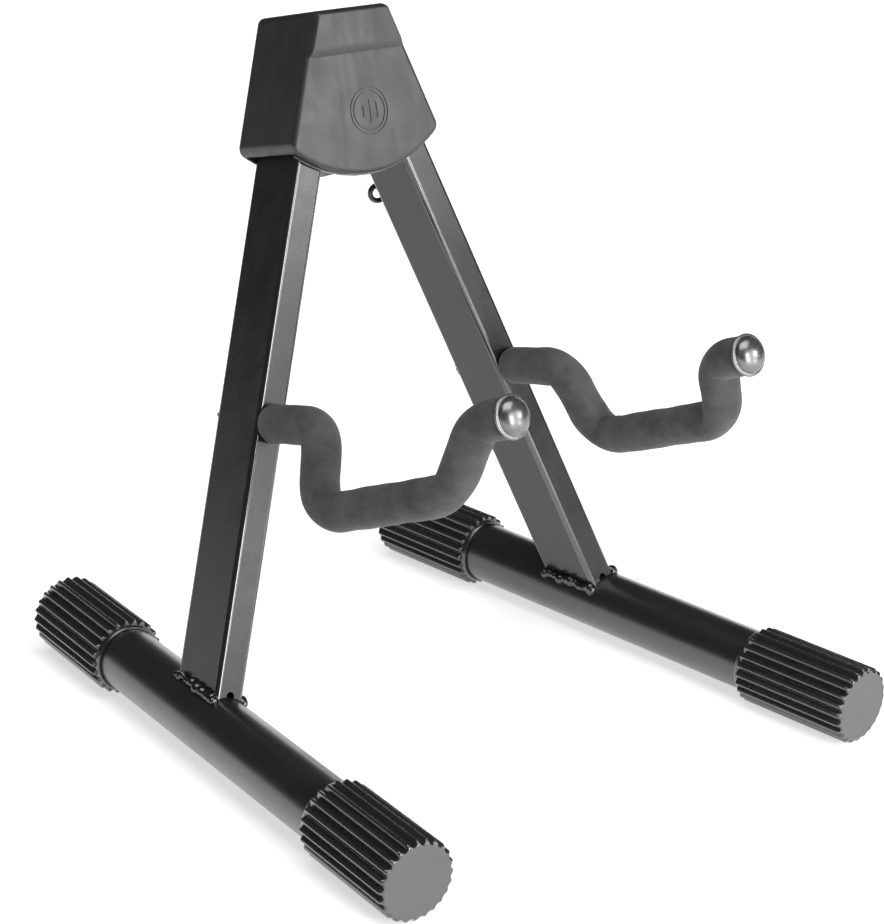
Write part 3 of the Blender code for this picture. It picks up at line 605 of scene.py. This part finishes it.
def foot_profile():
    """The foot's side as (outline, z), from its closed end to just inside its mouth."""
    steps = 7
    tail = FOOT_LENGTH - FOOT_LIP
    profile = []
    for i in range(steps + 1):
        turn = math.pi / 2 * i / steps
        radius = FOOT_RADIUS - FOOT_ROUNDING * (1 - math.sin(turn))
        drop = FOOT_ROUNDING * (1 - math.cos(turn))
        profile.append((rib_profile(radius, FOOT_GROOVE * math.sin(turn)), -drop))
    for z in (-FOOT_LENGTH * 0.25, -FOOT_LENGTH * 0.5, -FOOT_LENGTH * 0.75, -tail + 0.0008):
        profile.append((rib_profile(FOOT_RADIUS, FOOT_GROOVE), z))
    # The ribs' back ends are broken by a small chamfer.
    for chamfer, z in ((0.0002, -tail + 0.0002), (0.0007, -tail)):
        profile.append((rib_profile(FOOT_RADIUS - chamfer, FOOT_GROOVE - chamfer), z))
    lip = FOOT_RADIUS - FOOT_GROOVE + 0.0001
    tube = BASE_RADIUS + 0.00005
    profile += [
        (lip, -tail),
        (lip, -FOOT_LENGTH + 0.0005),
        (lip - 0.0004, -FOOT_LENGTH),
        (tube + 0.0002, -FOOT_LENGTH),
        (tube, -FOOT_LENGTH + 0.0003),
        (tube, -FOOT_LENGTH + 0.0060),
    ]
    return profile


def make_foot(name, body, matrix, roll, look):
    """A ribbed sleeve whose ribs round off before the flat end, with a thin lip at its mouth.

    Local Z points out of the foot's closed end, which lies at z = 0.
    """
    count = FOOT_RIBS * 12
    bm = bmesh.new()
    rings = turned(bm, foot_profile(), count)
    grid_faces(bm, rings)
    bm.faces.new(reversed(rings[-1]))
    # The flat end: a shallow dished disc inside the ribs' rim.
    disc = FOOT_RADIUS - FOOT_ROUNDING
    dish = [(disc * 0.97, 0.0), (disc * 0.90, -0.0001), (disc * 0.6, -0.00025), (disc * 0.3, -0.0003)]
    end_rings = [rings[0]] + turned(bm, dish, count)
    first_end_face = len(bm.faces)
    grid_faces(bm, end_rings)
    bm.faces.new(end_rings[-1])
    bm.faces.ensure_lookup_table()
    for face in bm.faces[first_end_face:]:
        face.material_index = 1
    return finish_piece(
        name, bm, matrix @ Matrix.Rotation(roll, 4, "Z"), look, body,
        name.replace("_visual", ""), smooth_angle=42.0,
    )


def make_feet(side, sign, look):
    """Both feet of one base tube, rolled so that a rib's crest is on the floor."""
    sideways = sign * math.sin(OPEN_ANGLE) * math.cos(LEAN)
    upright = math.sin(RAKE_ANGLE) * math.sin(LEAN)
    upright += math.cos(RAKE_ANGLE) * math.cos(OPEN_ANGLE) * math.cos(LEAN)
    tilt = math.atan2(sideways, upright)
    for end, distance, axis, roll in (
        ("front", BASE_FRONT, base_axis(), -tilt),
        ("rear", -BASE_REAR, -base_axis(), tilt),
    ):
        matrix = leg_frame(sign) @ frame_along(base_point(distance), axis)
        make_foot(f"{side}_{end}_foot_visual", f"{side}_leg", matrix, roll, look)


# ---------------------------------------------------------------- padded arms


def arm_bends():
    """The arm's straight runs and bends in its plane, as a list of stations.

    Each station is (point, direction, centre, half of the turn, angle from the bend's middle,
    radius). Straight stations have no centre.
    """
    stations = []
    corners = [Vector(corner) for corner in ARM_CORNERS]
    at = corners[0]
    for before, corner, after, radius in zip(corners, corners[1:], corners[2:], ARM_RADII):
        back = (before - corner).normalized()
        ahead = (after - corner).normalized()
        half = back.angle(ahead) / 2
        bend = math.pi / 2 - half            # half of the turn
        reach = radius / math.tan(half)
        centre = corner + (back + ahead).normalized() * (radius / math.sin(half))
        start, end = corner + back * reach, corner + ahead * reach
        add_straight(stations, at, start)
        turn = (start - centre).angle_signed(end - centre)
        steps = 2 * max(5, round(radius * abs(turn) / BEND_STEP))
        for i in range(1, steps):
            swing = turn * i / steps
            spoke = Matrix.Rotation(-swing, 2) @ (start - centre)
            direction = Matrix.Rotation(-swing, 2) @ (-back)
            stations.append((centre + spoke, direction, centre, bend, abs(swing) - bend, radius))
        at = end
    add_straight(stations, at, corners[-1])
    return stations


def add_straight(stations, start, end):
    direction = (end - start).normalized()
    steps = max(2, round((end - start).length / STRAIGHT_STEP))
    for i in range(steps + 1):
        stations.append((start.lerp(end, i / steps), direction, None, 0.0, 0.0, 0.0))


def foam_section(station, sides, radius):
    """One ring of the foam as (sideways, place in the arm's plane).

    The inner sides of bends pinch to a crease.
    """
    point, direction, centre, bend, swing, bend_radius = station
    across = Vector((direction.y, -direction.x))     # in the plane, square to the run
    ring = []
    for i in range(sides):
        angle = math.tau * i / sides
        in_plane, sideways = radius * math.cos(angle), radius * math.sin(angle)
        if centre is None:
            place = point + across * in_plane
        else:
            outward = (point - centre).normalized()
            offset = across.dot(outward) * in_plane
            distance = bend_radius + offset
            crease = smooth_step(-offset / radius * 1.4)
            mitre = 1 / math.cos(bend - abs(swing)) - 1
            distance *= 1 + CREASE * crease * mitre
            place = centre + outward * distance
            # The squeezed foam bulges a little to the sides.
            sideways *= 1 + BULGE * math.cos(math.pi / 2 * swing / bend)
        ring.append((sideways, place))
    return ring


def foam_rows():
    """The foam's rings as (station, radius), rounded over at both ends."""
    stations = arm_bends()
    first, last = stations[0], stations[-1]
    rows = []
    for part in (0.0, 0.3, 0.6, 0.85, 1.0):
        angle = math.pi / 2 * part
        shrink = FOAM_ROUNDING * (1 - math.sin(angle))
        forward = FOAM_ROUNDING * (1 - math.cos(angle)) + 0.0002
        rows.append(((first[0] + first[1] * forward, *first[1:]), FOAM_RADIUS - shrink))
    for station in stations[2:-1]:
        rows.append((station, FOAM_RADIUS))
    for shrink in (0.0, 0.0003, 0.0009):
        back = 0.0009 - shrink
        rows.append(((last[0] - last[1] * back, *last[1:]), FOAM_RADIUS - shrink * 0.7))
    return rows


def make_foam(side, sign, look):
    """A foam sleeve that follows its rod, with a slight waviness."""
    rng = random.Random(11 if sign > 0 else 7)
    long_phase, short_phase = rng.uniform(0, math.tau), rng.uniform(0, math.tau)
    bm = bmesh.new()
    rings = []
    rows = foam_rows()
    travelled = 0.0
    before = rows[0][0][0]
    for station, radius in rows:
        travelled += (station[0] - before).length
        before = station[0]
        swell = 0.00012 * math.sin(travelled * 190 + long_phase)
        swell += 0.00008 * math.sin(travelled * 420 + short_phase)
        section = foam_section(station, 48, radius + swell)
        rings.append([bm.verts.new((x, -place.x, place.y - LEG_LENGTH)) for x, place in section])
    grid_faces(bm, rings)
    for ring in (rings[0], rings[-1]):
        close_end(bm, ring, ROD_RADIUS + 0.0006)
    foam = finish_piece(
        f"{side}_arm_foam_visual", bm, leg_frame(sign), [look], f"{side}_leg",
        f"{side}_arm_foam", smooth_angle=75.0,
    )


def close_end(bm, ring, radius):
    """Carry a ring inwards to a smaller one and cap it."""
    centre = sum((vert.co for vert in ring), Vector()) / len(ring)
    inner = [bm.verts.new(centre + (vert.co - centre).normalized() * radius) for vert in ring]
    grid_faces(bm, [ring, inner])
    bm.faces.new(inner)


def cap_profile():
    """The cap's section as (radius, z): its bore, a round rim, a small step and a dome."""
    bore = ROD_RADIUS + 0.0004
    half_rim = CAP_RIM / 2
    profile = [(bore, GAP + 0.0030), (bore, GAP), (CAP_RADIUS - 0.0004, GAP)]
    profile += arc((CAP_RADIUS - half_rim, GAP + half_rim), half_rim, -math.pi / 2, math.pi / 2, 6)
    profile += [(CAP_RADIUS - 0.0011, GAP + CAP_RIM), (CAP_RADIUS - CAP_STEP, GAP + CAP_RIM + 0.0001)]
    steps = 12
    for i in range(1, steps):
        angle = math.pi / 2 * i / steps
        radius = (CAP_RADIUS - CAP_STEP) * math.cos(angle)
        profile.append((radius, GAP + CAP_RIM + CAP_DOME * math.sin(angle)))
    profile.append((0.00001, GAP + CAP_RIM + CAP_DOME))
    return profile


def make_cap(side, sign, look):
    """A plug-in cap with a polished dome."""
    corners = [Vector((0, -forward, up - LEG_LENGTH)) for forward, up in ARM_CORNERS[-2:]]
    axis = (corners[1] - corners[0]).normalized()
    bm = bmesh.new()
    rings = turned(bm, cap_profile(), 64)
    grid_faces(bm, rings)
    bm.faces.new(rings[0])
    bm.faces.new(rings[-1])
    matrix = leg_frame(sign) @ frame_along(corners[1], axis)
    finish_piece(
        f"{side}_arm_cap_visual", bm, matrix, [look], f"{side}_leg", f"{side}_arm_cap"
    )


# ---------------------------------------------------------------- welds


def lumpy_bead(points, radius, seed, lumps=0):
    """A weld bead: drops of metal along the points, with a few larger lumps, melted together."""
    rng = random.Random(seed)
    bm = bmesh.new()
    larger = [points[int((i + 0.5) / lumps * len(points))] for i in range(lumps)]
    for number, point in enumerate(list(points) + larger):
        size = radius * rng.uniform(0.80, 1.15)
        if number >= len(points):
            size *= rng.uniform(1.1, 1.35)
        shift = Vector(rng.uniform(-0.30, 0.30) * radius for axis in range(3))
        stretch = rng.uniform(0.85, 1.1), rng.uniform(0.7, 1.0), rng.uniform(0.85, 1.1)
        place = Matrix.Translation(Vector(point) + shift) @ Matrix.Diagonal((*stretch, 1))
        bmesh.ops.create_icosphere(bm, subdivisions=3, radius=size, matrix=place)
    mesh = bpy.data.meshes.new("drops")
    bm.to_mesh(mesh)
    bm.free()
    drops = bpy.data.objects.new("drops", mesh)
    bpy.context.scene.collection.objects.link(drops)
    remesh = drops.modifiers.new("melt", "REMESH")
    remesh.mode = "VOXEL"
    remesh.voxel_size = 0.00022
    smooth = drops.modifiers.new("smooth", "SMOOTH")
    smooth.factor = 0.6
    smooth.iterations = 12
    seen = drops.evaluated_get(bpy.context.evaluated_depsgraph_get())
    melted = bpy.data.meshes.new_from_object(seen)
    bpy.data.objects.remove(drops)
    bm = bmesh.new()
    bm.from_mesh(melted)
    bpy.data.meshes.remove(melted)
    return bm


def weld_line(outwards, count, back, front):
    """Points along the corner between a leg's side and its base tube, back to front."""
    x = outwards * (LEG_WIDTH / 2 + 0.0010)
    height = math.sqrt((BASE_RADIUS + 0.0010) ** 2 - x ** 2)
    points = []
    for i in range(count):
        forward = back + (front - back) * i / (count - 1)
        distance = (forward - height * math.sin(RAKE_ANGLE)) / math.cos(RAKE_ANGLE)
        square = Vector((x, -math.sin(RAKE_ANGLE) * height, math.cos(RAKE_ANGLE) * height))
        points.append(base_point(distance) + square)
    return points


def make_welds(side, sign, look):
    for where, outwards, seed in (("outer", sign, 3), ("inner", -sign, 5)):
        points = weld_line(outwards, WELD_DROPS, 0.0025 - LEG_DEPTH / 2, LEG_DEPTH / 2)
        bm = lumpy_bead(points, WELD_RADIUS, seed + 10 * sign, lumps=5)
        name = f"{side}_{where}_weld"
        finish_piece(name + "_visual", bm, leg_frame(sign), [look], f"{side}_leg", name)
    ring = []
    for x, z in circle_points(ARM_WELD_REACH, WELD_DROPS):
        ring.append((x, LEG_DEPTH / 2 + 0.0008, ROD_HEIGHT + z))
    bm = lumpy_bead(ring, ARM_WELD_RADIUS, 21 + sign)
    name = f"{side}_arm_weld"
    finish_piece(name + "_visual", bm, leg_frame(sign), [look], f"{side}_leg", name)


# ---------------------------------------------------------------- pull ring


def make_pull_ring(look):
    """A stout round ring, hanging where the CAD ring hangs."""
    node = NODES["pull_ring"]
    corners = [node.matrix_world @ Vector(corner) for corner in node.bound_box]
    centre = sum(corners, Vector()) / len(corners)
    wire = arc((RING_RADIUS, 0), RING_WIRE, 0, math.tau, 20)[:-1]
    around = 72
    bm = bmesh.new()
    rings = []
    for i in range(around):
        spin = Matrix.Rotation(math.tau * i / around, 4, "Y")
        rings.append([bm.verts.new(spin @ Vector((x, y, 0))) for x, y in wire])
    grid_faces(bm, rings + rings[:1])
    place = Matrix.Translation(centre) @ Matrix.Rotation(RING_YAW, 4, "Z")
    finish_piece("pull_ring_visual", bm, place, [look], "pull_ring", "pull_ring")


# ---------------------------------------------------------------- lock spring


def make_lock_spring(look):
    """The lock pin's coil, where the CAD coil lies."""
    node = NODES["lock_spring"]
    to_head = head_frame().inverted() @ node.matrix_world
    places = [to_head @ vert.co for vert in node.data.vertices]
    low = Vector(min(place[i] for place in places) for i in range(3))
    high = Vector(max(place[i] for place in places) for i in range(3))
    middle = (low + high) / 2
    length = high.y - low.y
    radius = (high.x - low.x) / 2 - SPRING_WIRE
    wire = arc((0, 0), SPRING_WIRE, 0, math.tau, 10)[:-1]
    depth = Vector((0, 1, 0))
    steps = SPRING_TURNS * 28
    bm = bmesh.new()
    rings = []
    for i in range(steps + 1):
        angle = math.tau * SPRING_TURNS * i / steps
        outwards = Vector((math.cos(angle), 0, math.sin(angle)))
        run = low.y + SPRING_WIRE + (length - 2 * SPRING_WIRE) * i / steps
        centre = Vector((middle.x, run, middle.z)) + outwards * radius
        rings.append([bm.verts.new(centre + outwards * u + depth * v) for u, v in wire])
    grid_faces(bm, rings)
    bm.faces.new(rings[0])
    bm.faces.new(rings[-1])
    spring = finish_piece(
        "lock_spring_visual", bm, head_frame(), [look], "head", "lock_spring"
    )
    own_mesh(spring)


# ---------------------------------------------------------------- head cover


def head_outline(inset=0.0, belly_shift=0.0, corner=HEAD_TOP_ROUND, hip_round=HEAD_HIP_ROUND):
    """Outline of the head in (x, z): sides along the open legs, round hips, a round belly."""
    slope = math.tan(OPEN_ANGLE)
    top = HEAD_TOP - inset
    shoulder = HEAD_TOP_HALF + slope * inset - inset / math.cos(OPEN_ANGLE)
    hip = HEAD_TOP_HALF + slope * (HEAD_TOP - HEAD_HIP)
    sag = HEAD_HIP - HEAD_BELLY
    full_radius = (hip ** 2 + sag ** 2) / (2 * sag)
    centre_z = HEAD_BELLY + full_radius
    radius = full_radius + belly_shift
    reach = HEAD_TOP_HALF * math.cos(OPEN_ANGLE) + HEAD_TOP * math.sin(OPEN_ANGLE) - inset
    inner = radius - hip_round
    swing = OPEN_ANGLE + math.asin((reach - hip_round - centre_z * math.sin(OPEN_ANGLE)) / inner)
    belly = arc((0, centre_z), radius, -math.pi / 2 - swing, -math.pi / 2 + swing, 40)
    hip_centre = (inner * math.sin(swing), centre_z - inner * math.cos(swing))
    right_hip = arc(hip_centre, hip_round, -math.pi / 2 + swing, OPEN_ANGLE, 8)[1:]
    left_hip = [(-x, z) for x, z in reversed(right_hip)]
    corner_x = shoulder - corner * math.tan((math.pi / 2 - OPEN_ANGLE) / 2)
    right_corner = arc((corner_x, top - corner), corner, OPEN_ANGLE, math.pi / 2, 6)
    left_corner = [(-x, z) for x, z in reversed(right_corner)]
    return belly + right_hip + right_corner + left_corner + left_hip


def prism(outline, y_front, y_back):
    """Extrude an (x, z) outline from front to back."""
    bm = bmesh.new()
    face = bm.faces.new([bm.verts.new((x, y_front, z)) for x, z in outline])
    grown = bmesh.ops.extrude_face_region(bm, geom=[face])
    moved = [item for item in grown["geom"] if isinstance(item, bmesh.types.BMVert)]
    bmesh.ops.translate(bm, vec=(0, y_back - y_front, 0), verts=moved)
    bmesh.ops.recalc_face_normals(bm, faces=bm.faces)
    return bm


def along_depth(edge):
    """True for an edge that runs from the front to the back."""
    first, second = (vert.co for vert in edge.verts)
    return abs(first.x - second.x) + abs(first.z - second.z) < 0.00001


def make_head_cover(look):
    """The moulded cover: soft edges, a proud brow, a round engraved badge, open below."""
    bm = prism(head_outline(), -HEAD_FRONT, HEAD_BACK)
    rims = [e for e in bm.edges if not along_depth(e)]
    bmesh.ops.bevel(bm, geom=rims, offset=HEAD_RIM_ROUND, segments=6, profile=0.5, affect="EDGES")
    raise_brow(bm)
    hollow_depth = PLATE_OUTER + 0.0015
    mouth_depth = PLATE_OUTER + GAP
    cutters = [
        prism(head_outline(HEAD_WALL, -0.0030, 0.002, 0.0026), -hollow_depth, hollow_depth),
        prism(head_outline(MOUTH_WALL, 0.01, 0.002, 0.001), -mouth_depth, mouth_depth),
    ]
    for above in SCREW_PLACES:
        place = (0.0, HINGE_HEIGHT + above)
        cutters.append(ring_prism(0.0, SCREW_HOLE, place, PLATE_OUTER - 0.001, HEAD_BACK + 0.01))
    cover = finish_piece(
        "head_cover_visual", carve(bm, cutters + badge_cutters()), head_frame(), [look], "head",
        "head_cover", smooth_angle=38.0,
    )
    weigh_normals(cover)


def raise_brow(bm):
    """Make the top part of the cover's front stand proud, with a round lower edge."""
    low_round = 0.0046
    side_round = 0.0016
    side_start = 0.0004
    cos, sin = math.cos(OPEN_ANGLE), math.sin(OPEN_ANGLE)
    # Fine cuts where the surface will curve, parallel to each edge of the brow.
    for step in range(13):
        inset = side_start + side_round * step / 12
        for sign in (-1, 1):
            cut_across(bm, (sign * (HEAD_TOP_HALF - inset / cos), 0, HEAD_TOP), (sign * cos, 0, sin))
    for step in range(17):
        cut_across(bm, (0, 0, HEAD_BROW_LOW + low_round * step / 16), (0, 0, 1))
    for step in range(9):
        cut_across(bm, (0, 0, HEAD_TOP - 0.0020 * step / 8), (0, 0, 1))
    proud = HEAD_BROW_FRONT - HEAD_FRONT
    for vert in bm.verts:
        x, y, z = vert.co
        if y > FRONT_ZONE or z < HEAD_BROW_LOW:
            continue
        side = (HEAD_TOP_HALF - abs(x)) * cos + (HEAD_TOP - z) * sin - side_start
        rise = quarter_round((z - HEAD_BROW_LOW) / low_round)
        rise *= quarter_round(side / side_round) * smooth_step((HEAD_TOP - z) / 0.0016)
        vert.co.y -= proud * rise


def quarter_round(value):
    """Rises steeply from 0, then levels out at 1."""
    return math.sin(math.pi / 2 * min(1.0, max(0.0, value)))


def cut_across(bm, place, normal):
    """Add a line of vertices over the front of the cover."""
    front = [face for face in bm.faces if face.calc_center_median().y < FRONT_ZONE]
    geometry = set(front)
    for face in front:
        geometry.update(face.edges)
        geometry.update(face.verts)
    bmesh.ops.bisect_plane(bm, geom=list(geometry), dist=0.000001, plane_co=place, plane_no=normal)


def ring_prism(inner, outer, centre, y_front, y_back):
    """A round ring, or a disc where the inner radius is 0, pushed from front to back."""
    bm = bmesh.new()
    rows = []
    for radius, y in ((outer, y_front), (outer, y_back), (inner, y_back), (inner, y_front)):
        if radius == 0:
            continue
        points = circle_points(radius, 64)
        rows.append([bm.verts.new((centre[0] + u, y, centre[1] + v)) for u, v in points])
    if inner:
        grid_faces(bm, rows + rows[:1])
    else:
        grid_faces(bm, rows)
        bm.faces.new(rows[0])
        bm.faces.new(rows[1])
    return bm


def badge_cutters():
    """A plain badge: two engraved circles round three upright bars."""
    front = -HEAD_FRONT - 0.002
    floor = -HEAD_FRONT + BADGE_DEPTH
    cutters = [ring_prism(r - BADGE_LINE, r, BADGE_CENTRE, front, floor) for r in BADGE_RINGS]
    for across, half in BADGE_BARS:
        bar = [(BADGE_CENTRE[0] + across + u, BADGE_CENTRE[1] + v) for u, v in stadium(0.0007, half)]
        cutters.append(prism(bar, front, floor))
    return cutters


def stadium(radius, half):
    """Outline of an upright slot with round ends, about its centre."""
    straight = half - radius
    return arc((0, straight), radius, 0, math.pi, 8) + arc((0, -straight), radius, math.pi, math.tau, 8)


# ---------------------------------------------------------------- carried-over CAD nodes


def weigh_normals(obj):
    """Keep large flats flat where they meet rounded edges."""
    modifier = obj.modifiers.new("weighted_normals", "WEIGHTED_NORMAL")
    modifier.keep_sharp = True
    modifier.weight = 60


def dress(node, look):
    """Give a CAD node its finished material, and shade its round sides smooth."""
    obj = NODES[node]
    for material_slot in obj.material_slots:
        material_slot.material = look
    weld = obj.modifiers.new("weld", "WELD")
    weld.merge_threshold = 0.00001
    split = obj.modifiers.new("hard_edges", "EDGE_SPLIT")
    split.split_angle = math.radians(35)
    weigh_normals(obj)


def main():
    make_camera()
    make_studio()
    paint = black_paint("black_paint", 0.27, 0.62, 0.0)
    tube_paint = black_paint("tube_paint", 0.30, 0.90, 0.5)
    edge_paint = black_paint("edge_paint", 0.14, 1.00, 1.0)
    coat = weld_paint()
    rubber = [black_rubber(), rubber_end()]
    foam = grey_foam()
    cap = gloss_cap()
    zinc = zinc_steel()
    pale_nylon = nylon()
    for side, sign in SIDES:
        make_feet(side, sign, rubber)
        make_foam(side, sign, foam)
        make_cap(side, sign, cap)
        make_welds(side, sign, coat)
        make_leg_tube(side, sign, [paint, edge_paint])
        make_base_tube(side, sign, tube_paint)
        dress(f"{side}_arm_rod", paint)
        dress(f"{side}_hinge_bush", pale_nylon)
        dress(f"{side}_hinge_pin", zinc)
    make_head_cover(head_plastic())
    make_pull_ring(tube_paint)
    make_lock_spring(zinc)
    dress("stop_block", pale_nylon)
    for node in ("front_plate", "rear_plate", "lock_barrel"):
        dress(node, paint)
    for node in (
        "stop_block_bolt",
        "stop_block_nut",
        "upper_cover_screw",
        "lower_cover_screw",
        "lock_pin",
    ):
        dress(node, zinc)


main()
